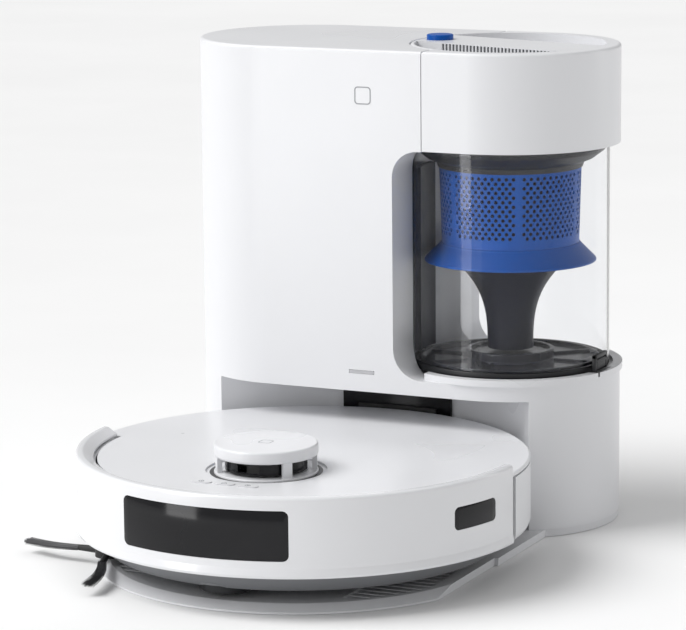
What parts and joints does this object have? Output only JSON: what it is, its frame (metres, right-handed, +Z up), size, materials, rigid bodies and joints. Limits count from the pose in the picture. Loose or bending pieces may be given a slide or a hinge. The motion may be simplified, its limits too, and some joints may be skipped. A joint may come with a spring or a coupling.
{
  "type": "robot vacuum",
  "caption": "Round robot vacuum with a scanning turret, parked in an upright emptying station that has a clear lift-off cyclone bin, a hinged bin floor and a ramped base plate.",
  "frame": {"origin": "on the floor, on the symmetry plane of the docked robot, under its centre", "axes": "+Z up; +Y from the robot into the station; +X to the right seen from the front"},
  "size_m": [0.3874, 0.4687, 0.386],
  "materials": {
    "white_shell": "satin white moulded plastic",
    "white_bumper": "gloss white moulded plastic",
    "plate_white": "matt white plastic",
    "black_gloss": "gloss black infrared-clear plastic",
    "dark_plastic": "matt black plastic",
    "dark_navy": "gloss dark navy plastic",
    "blue": "satin blue plastic",
    "clear_bin": "clear moulded polycarbonate",
    "smoke_floor": "smoke-tinted plastic",
    "rubber": "black rubber",
    "tyre": "black soft rubber tyre",
    "steel": "steel",
    "contact": "plated contact metal",
    "filter_paper": "pleated filter paper",
    "light_lens": "frosted light guide",
    "pcb": "circuit board",
    "battery_wrap": "blue battery wrap",
    "bristle": "dark grey nylon bristles",
    "brush_rubber": "grey rubber blades"
  },
  "bodies": {
    "station": {"base_plate": "plate_white", "station_feet": "rubber", "tread_strips": "plate_white", "tower_housing": "white_shell", "rear_cover": "white_shell", "station_screws": "steel", "power_inlet": "dark_plastic", "dock_panel": "black_gloss", "charge_pins": "contact", "port_seal": "rubber", "status_light": "light_lens", "dust_duct": "dark_plastic", "suction_motor": "dark_plastic", "canister_seat": "white_shell"},
    "station_fan": {"suction_impeller": "dark_plastic"},
    "canister": {"canister_head": "white_shell", "carry_handle": "white_shell", "head_grille": "white_shell", "pleated_filter": "filter_paper", "bin_wall": "clear_bin", "bin_collar": "dark_plastic", "mesh_filter": "blue", "mesh_skirt": "blue", "cyclone_tube": "dark_navy", "bin_spine": "dark_navy", "floor_seal": "dark_plastic"},
    "release_button": {"release_button": "blue"},
    "bin_floor": {"bin_floor": "smoke_floor"},
    "bin_latch": {"bin_latch": "dark_plastic"},
    "robot": {"chassis": "plate_white", "rear_shell": "white_shell", "charge_contacts": "contact", "turret_cage": "white_shell", "dust_box": "smoke_floor", "dust_filter": "filter_paper", "fan_housing": "dark_plastic", "battery": "battery_wrap", "main_board": "pcb", "brush_guard": "dark_plastic"},
    "cover": {"top_cover": "white_shell"},
    "key_left": {"button_left": "white_shell"},
    "key_centre": {"button_centre": "white_shell"},
    "key_right": {"button_right": "white_shell"},
    "bumper": {"bumper": "white_bumper", "front_window": "black_gloss", "side_windows": "black_gloss"},
    "lidar": {"lidar_rotor": "black_gloss"},
    "blower": {"impeller": "dark_plastic"},
    "arm_left": {"drive_arm_left": "dark_plastic"},
    "arm_right": {"drive_arm_right": "dark_plastic"},
    "wheel_left": {"wheel_hub_left": "dark_plastic", "tyre_left": "tyre"},
    "wheel_right": {"wheel_hub_right": "dark_plastic", "tyre_right": "tyre"},
    "main_brush": {"brush_core": "dark_plastic", "brush_blades": "brush_rubber"},
    "side_brush": {"side_brush_hub": "rubber", "side_brush_bristles": "bristle"},
    "caster_fork": {"caster_fork": "dark_plastic"},
    "caster_wheel": {"caster_wheel": "rubber"}
  },
  "joints": [
    {"name": "undock", "type": "slide", "parent": "station", "child": "robot", "axis": [0, -1, 0], "range_m": [0, 0.4]},
    {"name": "bumper_press", "type": "slide", "parent": "robot", "child": "bumper", "axis": [0, 1, 0], "range_m": [0, 0.002], "stiffness_N_per_m": 800, "springref_m": -0.002},
    {"name": "cover_lift", "type": "slide", "parent": "robot", "child": "cover", "axis": [0, 0, 1], "range_m": [0, 0.018]},
    {"name": "key_left_press", "type": "slide", "parent": "cover", "child": "key_left", "axis": [0, 0, -1], "range_m": [0, 0.0006], "stiffness_N_per_m": 300, "springref_m": -0.001},
    {"name": "key_centre_press", "type": "slide", "parent": "cover", "child": "key_centre", "axis": [0, 0, -1], "range_m": [0, 0.0006], "stiffness_N_per_m": 300, "springref_m": -0.001},
    {"name": "key_right_press", "type": "slide", "parent": "cover", "child": "key_right", "axis": [0, 0, -1], "range_m": [0, 0.0006], "stiffness_N_per_m": 300, "springref_m": -0.001},
    {"name": "lidar_spin", "type": "hinge", "parent": "robot", "child": "lidar", "pos_m": [0, -0.0614, 0.09], "axis": [0, 0, 1], "continuous": true},
    {"name": "blower_spin", "type": "hinge", "parent": "robot", "child": "blower", "pos_m": [0.108, 0.084, 0.04], "axis": [0, 0, 1], "continuous": true},
    {"name": "suspension_left", "type": "hinge", "parent": "robot", "child": "arm_left", "pos_m": [-0.126, 0.038, 0.0435], "axis": [-1, 0, 0], "range_deg": [0, 8], "stiffness_Nm_per_rad": 0.6, "springref_deg": -28.65},
    {"name": "suspension_right", "type": "hinge", "parent": "robot", "child": "arm_right", "pos_m": [0.126, 0.038, 0.0435], "axis": [-1, 0, 0], "range_deg": [0, 8], "stiffness_Nm_per_rad": 0.6, "springref_deg": -28.65},
    {"name": "wheel_left_spin", "type": "hinge", "parent": "arm_left", "child": "wheel_left", "pos_m": [-0.107, 0, 0.0393], "axis": [1, 0, 0], "continuous": true},
    {"name": "wheel_right_spin", "type": "hinge", "parent": "arm_right", "child": "wheel_right", "pos_m": [0.107, 0, 0.0393], "axis": [1, 0, 0], "continuous": true},
    {"name": "main_brush_spin", "type": "hinge", "parent": "robot", "child": "main_brush", "pos_m": [0, 0.03, 0.0265], "axis": [1, 0, 0], "continuous": true},
    {"name": "side_brush_spin", "type": "hinge", "parent": "robot", "child": "side_brush", "pos_m": [-0.126, -0.078, 0.012], "axis": [0, 0, 1], "continuous": true, "deforming": ["side_brush_bristles"]},
    {"name": "caster_swivel", "type": "hinge", "parent": "robot", "child": "caster_fork", "pos_m": [0, -0.128, 0.035], "axis": [0, 0, 1], "continuous": true},
    {"name": "caster_roll", "type": "hinge", "parent": "caster_fork", "child": "caster_wheel", "pos_m": [0, -0.124, 0.0193], "axis": [1, 0, 0], "continuous": true},
    {"name": "station_fan_spin", "type": "hinge", "parent": "station", "child": "station_fan", "pos_m": [-0.088, 0.203, 0.21], "axis": [0, 0, 1], "continuous": true},
    {"name": "canister_lift", "type": "slide", "parent": "station", "child": "canister", "axis": [0, 0, 1], "range_m": [0, 0.45]},
    {"name": "release_press", "type": "slide", "parent": "canister", "child": "release_button", "axis": [0, 0, -1], "range_m": [0, 0.003], "stiffness_N_per_m": 300, "springref_m": -0.002},
    {"name": "bin_floor_open", "type": "hinge", "parent": "canister", "child": "bin_floor", "pos_m": [0.0129, 0.203, 0.1272], "axis": [0, 1, 0], "range_deg": [0, 60]},
    {"name": "latch_open", "type": "hinge", "parent": "canister", "child": "bin_latch", "pos_m": [0.1697, 0.19, 0.1334], "axis": [0, -1, 0], "range_deg": [0, 12], "stiffness_Nm_per_rad": 0.02, "springref_deg": -17.19}
  ],
  "couplings": [
    {"joint": "bin_floor_open", "follows": "canister_lift", "rad_per_m": 2.327}
  ]
}
